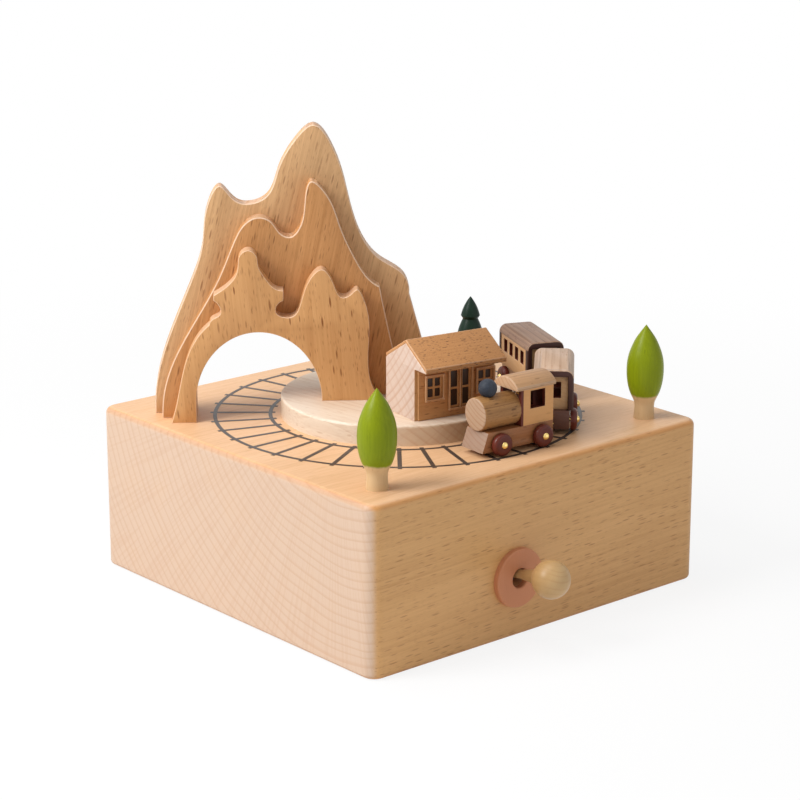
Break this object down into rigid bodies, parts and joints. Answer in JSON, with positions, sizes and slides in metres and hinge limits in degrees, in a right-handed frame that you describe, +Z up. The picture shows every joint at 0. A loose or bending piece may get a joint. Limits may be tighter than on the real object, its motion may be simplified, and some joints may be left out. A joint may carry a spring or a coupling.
{
  "type": "cylinder music box",
  "caption": "Wooden railway music box: a winding movement turns a pinned cylinder and draws a small train round a printed track, through a mountain tunnel.",
  "frame": {"origin": "middle of the block's square underside, in the plane of the rim that it stands on", "axes": "+Z up; +X towards the face with the stop peg; +Y along the other pair of sides, to the back right of the picture"},
  "size_m": [0.1442, 0.125, 0.1342],
  "materials": {
    "beech": "oiled, satin",
    "board_wood": "raw, matte",
    "printed_ink": "dark ink with a slight sheen",
    "station_wood": "end grain, satin",
    "station_relief": "golden stain, satin",
    "roof_fibre": "speckled, matte",
    "tree_green": "grass green stain, satin",
    "pine_green": "dark green paint, satin",
    "washer_wood": "reddish stain, matte",
    "peg_wood": "turned, satin",
    "walnut": "oiled, satin",
    "light_walnut": "oiled, satin",
    "dark_walnut": "oiled, satin",
    "maple": "oiled, satin",
    "slate_black": "painted, satin",
    "wheel_wood": "stained, satin",
    "brass": "polished",
    "steel": "brushed",
    "spring_steel": "blued",
    "cast_metal": "cast, matte",
    "magnet_nickel": "nickel plated"
  },
  "bodies": {
    "case": {"base_block": "beech", "bottom_board": "board_wood", "screws": "steel", "printed_track": "printed_ink", "platform": "beech", "mountain_front": "beech", "mountain_middle": "beech", "mountain_back": "beech", "station_house": "station_wood", "station_front": "station_relief", "station_roof": "roof_fibre", "round_trees": "tree_green", "pine_tree": "pine_green", "lever_washer": "washer_wood", "lever_pivot": "steel", "movement_bedplate": "cast_metal", "comb": "steel", "barrel_bridge": "brass", "governor_bracket": "brass"},
    "drive": {"spring_barrel": "brass", "mainspring": "spring_steel", "magnet_arm": "cast_metal", "drive_magnet": "magnet_nickel"},
    "key": {"winding_arbor": "steel", "winding_key": "steel"},
    "cylinder": {"pin_cylinder": "brass", "cylinder_arbor": "brass"},
    "second": {"second_wheel": "brass"},
    "governor": {"governor_worm": "steel"},
    "lever": {"stop_peg": "peg_wood", "brake_wire": "steel"},
    "loco": {"loco_chassis": "walnut", "loco_boiler": "light_walnut", "chimney_ball": "slate_black", "loco_cab": "maple", "cab_roof": "light_walnut", "loco_fittings": "brass", "loco_magnet": "magnet_nickel"},
    "coach_1": {"coach_1_chassis": "dark_walnut", "coach_1_body": "maple", "coach_1_frames": "dark_walnut", "coach_1_roof": "light_walnut", "coach_1_fittings": "brass"},
    "coach_2": {"coach_2_chassis": "maple", "coach_2_body": "maple", "coach_2_frames": "dark_walnut", "coach_2_roof": "light_walnut", "coach_2_fittings": "brass"},
    "loco_wheel_front_outer": {"loco_wheel_front_outer": "wheel_wood"},
    "loco_wheel_front_inner": {"loco_wheel_front_inner": "wheel_wood"},
    "loco_wheel_rear_outer": {"loco_wheel_rear_outer": "wheel_wood"},
    "loco_wheel_rear_inner": {"loco_wheel_rear_inner": "wheel_wood"},
    "coach_1_wheel_front_outer": {"coach_1_wheel_front_outer": "wheel_wood"},
    "coach_1_wheel_front_inner": {"coach_1_wheel_front_inner": "wheel_wood"},
    "coach_1_wheel_rear_outer": {"coach_1_wheel_rear_outer": "wheel_wood"},
    "coach_1_wheel_rear_inner": {"coach_1_wheel_rear_inner": "wheel_wood"},
    "coach_2_wheel_front_outer": {"coach_2_wheel_front_outer": "wheel_wood"},
    "coach_2_wheel_front_inner": {"coach_2_wheel_front_inner": "wheel_wood"},
    "coach_2_wheel_rear_outer": {"coach_2_wheel_rear_outer": "wheel_wood"},
    "coach_2_wheel_rear_inner": {"coach_2_wheel_rear_inner": "wheel_wood"}
  },
  "joints": [
    {"name": "drive_turn", "type": "hinge", "parent": "case", "child": "drive", "pos_m": [0, 0, 0.015], "axis": [0, 0, 1], "continuous": true},
    {"name": "key_turn", "type": "hinge", "parent": "case", "child": "key", "pos_m": [0, 0, 0.009], "axis": [0, 0, 1], "continuous": true},
    {"name": "cylinder_turn", "type": "hinge", "parent": "case", "child": "cylinder", "pos_m": [0.0178, 0, 0.024], "axis": [1, 0, 0], "continuous": true},
    {"name": "second_turn", "type": "hinge", "parent": "case", "child": "second", "pos_m": [0.0386, 0.0092, 0.024], "axis": [1, 0, 0], "continuous": true},
    {"name": "governor_turn", "type": "hinge", "parent": "case", "child": "governor", "pos_m": [0.0438, 0.0137, 0.024], "axis": [0, 0, 1], "continuous": true},
    {"name": "lever_tip", "type": "hinge", "parent": "case", "child": "lever", "pos_m": [0.0555, -0.0103, 0.0176], "axis": [0, 1, 0], "range_deg": [0, 16.4]},
    {"name": "loco_orbit", "type": "hinge", "parent": "case", "child": "loco", "pos_m": [0, 0, 0.0492], "axis": [0, 0, 1], "continuous": true},
    {"name": "coach_1_orbit", "type": "hinge", "parent": "case", "child": "coach_1", "pos_m": [0, 0, 0.0492], "axis": [0, 0, 1], "continuous": true},
    {"name": "coach_2_orbit", "type": "hinge", "parent": "case", "child": "coach_2", "pos_m": [0, 0, 0.0492], "axis": [0, 0, 1], "continuous": true},
    {"name": "loco_wheel_front_outer_spin", "type": "hinge", "parent": "loco", "child": "loco_wheel_front_outer", "pos_m": [0.05233, -0.00649, 0.05265], "axis": [0.9976, -0.0698, 0], "continuous": true},
    {"name": "loco_wheel_front_inner_spin", "type": "hinge", "parent": "loco", "child": "loco_wheel_front_inner", "pos_m": [0.04036, -0.00566, 0.05265], "axis": [0.9976, -0.0698, 0], "continuous": true},
    {"name": "loco_wheel_rear_outer_spin", "type": "hinge", "parent": "loco", "child": "loco_wheel_rear_outer", "pos_m": [0.05336, 0.00827, 0.05265], "axis": [0.9976, -0.0698, 0], "continuous": true},
    {"name": "loco_wheel_rear_inner_spin", "type": "hinge", "parent": "loco", "child": "loco_wheel_rear_inner", "pos_m": [0.04139, 0.00911, 0.05265], "axis": [0.9976, -0.0698, 0], "continuous": true},
    {"name": "coach_1_wheel_front_outer_spin", "type": "hinge", "parent": "coach_1", "child": "coach_1_wheel_front_outer", "pos_m": [0.04722, 0.02606, 0.05265], "axis": [0.7033, 0.7109, 0], "continuous": true},
    {"name": "coach_1_wheel_front_inner_spin", "type": "hinge", "parent": "coach_1", "child": "coach_1_wheel_front_inner", "pos_m": [0.03878, 0.01752, 0.05265], "axis": [0.7033, 0.7109, 0], "continuous": true},
    {"name": "coach_1_wheel_rear_outer_spin", "type": "hinge", "parent": "coach_1", "child": "coach_1_wheel_rear_outer", "pos_m": [0.03584, 0.03731, 0.05265], "axis": [0.7033, 0.7109, 0], "continuous": true},
    {"name": "coach_1_wheel_rear_inner_spin", "type": "hinge", "parent": "coach_1", "child": "coach_1_wheel_rear_inner", "pos_m": [0.0274, 0.02878, 0.05265], "axis": [0.7033, 0.7109, 0], "continuous": true},
    {"name": "coach_2_wheel_front_outer_spin", "type": "hinge", "parent": "coach_2", "child": "coach_2_wheel_front_outer", "pos_m": [0.02058, 0.04585, 0.05265], "axis": [0.3914, 0.9202, 0], "continuous": true},
    {"name": "coach_2_wheel_front_inner_spin", "type": "hinge", "parent": "coach_2", "child": "coach_2_wheel_front_inner", "pos_m": [0.01588, 0.03481, 0.05265], "axis": [0.3914, 0.9202, 0], "continuous": true},
    {"name": "coach_2_wheel_rear_outer_spin", "type": "hinge", "parent": "coach_2", "child": "coach_2_wheel_rear_outer", "pos_m": [0.00586, 0.05211, 0.05265], "axis": [0.3914, 0.9202, 0], "continuous": true},
    {"name": "coach_2_wheel_rear_inner_spin", "type": "hinge", "parent": "coach_2", "child": "coach_2_wheel_rear_inner", "pos_m": [0.00116, 0.04107, 0.05265], "axis": [0.3914, 0.9202, 0], "continuous": true}
  ],
  "couplings": [
    {"joint": "cylinder_turn", "follows": "drive_turn", "ratio": 4},
    {"joint": "second_turn", "follows": "drive_turn", "ratio": -14.4},
    {"joint": "governor_turn", "follows": "drive_turn", "ratio": 86.4},
    {"joint": "loco_orbit", "follows": "drive_turn", "ratio": 1},
    {"joint": "coach_1_orbit", "follows": "drive_turn", "ratio": 1},
    {"joint": "coach_2_orbit", "follows": "drive_turn", "ratio": 1},
    {"joint": "loco_wheel_front_outer_spin", "follows": "drive_turn", "ratio": -16.202},
    {"joint": "loco_wheel_front_inner_spin", "follows": "drive_turn", "ratio": -12.509},
    {"joint": "loco_wheel_rear_outer_spin", "follows": "drive_turn", "ratio": -16.202},
    {"joint": "loco_wheel_rear_inner_spin", "follows": "drive_turn", "ratio": -12.509},
    {"joint": "coach_1_wheel_front_outer_spin", "follows": "drive_turn", "ratio": -15.917},
    {"joint": "coach_1_wheel_front_inner_spin", "follows": "drive_turn", "ratio": -12.225},
    {"joint": "coach_1_wheel_rear_outer_spin", "follows": "drive_turn", "ratio": -15.917},
    {"joint": "coach_1_wheel_rear_inner_spin", "follows": "drive_turn", "ratio": -12.225},
    {"joint": "coach_2_wheel_front_outer_spin", "follows": "drive_turn", "ratio": -15.461},
    {"joint": "coach_2_wheel_front_inner_spin", "follows": "drive_turn", "ratio": -11.769},
    {"joint": "coach_2_wheel_rear_outer_spin", "follows": "drive_turn", "ratio": -15.461},
    {"joint": "coach_2_wheel_rear_inner_spin", "follows": "drive_turn", "ratio": -11.769}
  ]
}
